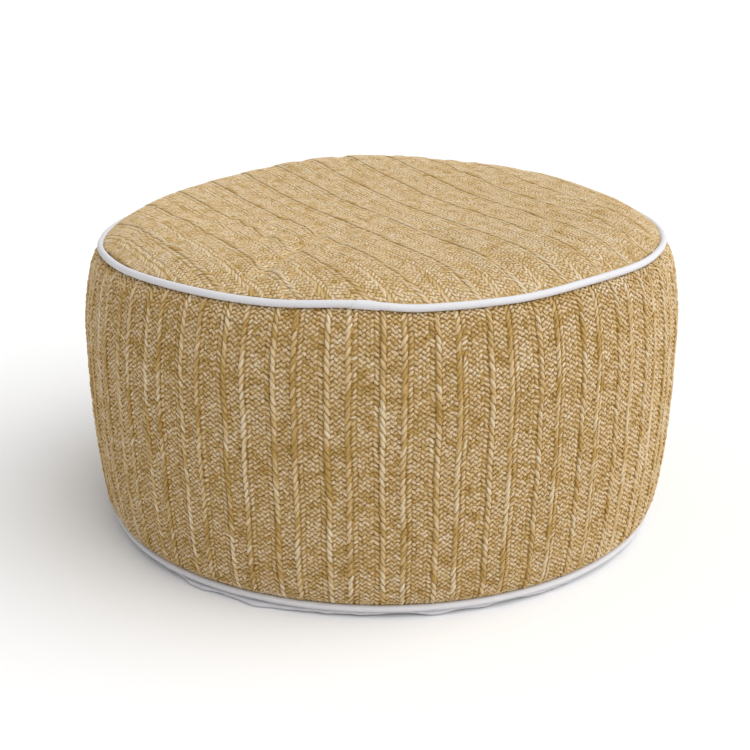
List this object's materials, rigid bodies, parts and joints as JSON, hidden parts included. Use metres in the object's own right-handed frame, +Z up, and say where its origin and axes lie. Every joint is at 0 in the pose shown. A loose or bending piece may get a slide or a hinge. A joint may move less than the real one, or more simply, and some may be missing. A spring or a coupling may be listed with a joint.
{
  "type": "inflatable pouf",
  "caption": "Round inflatable pouf in a ribbed straw-coloured knitted cover with white piping and a white base cloth; a low seat or footrest.",
  "frame": {"origin": "on the floor, under the middle of the pouf", "axes": "+Z up, front of the pouf towards -Y, +X to the right seen from the front"},
  "size_m": [0.5362, 0.5362, 0.2864],
  "materials": {
    "straw_knit": "space-dyed straw yarn in a ribbed knit",
    "white_piping": "smooth white piping",
    "base_cloth": "plain white base cloth"
  },
  "bodies": {
    "root": {"top_panel": "straw_knit", "side_band": "straw_knit", "base_panel": "base_cloth", "top_piping": "white_piping", "bottom_piping": "white_piping"}
  },
  "joints": []
}
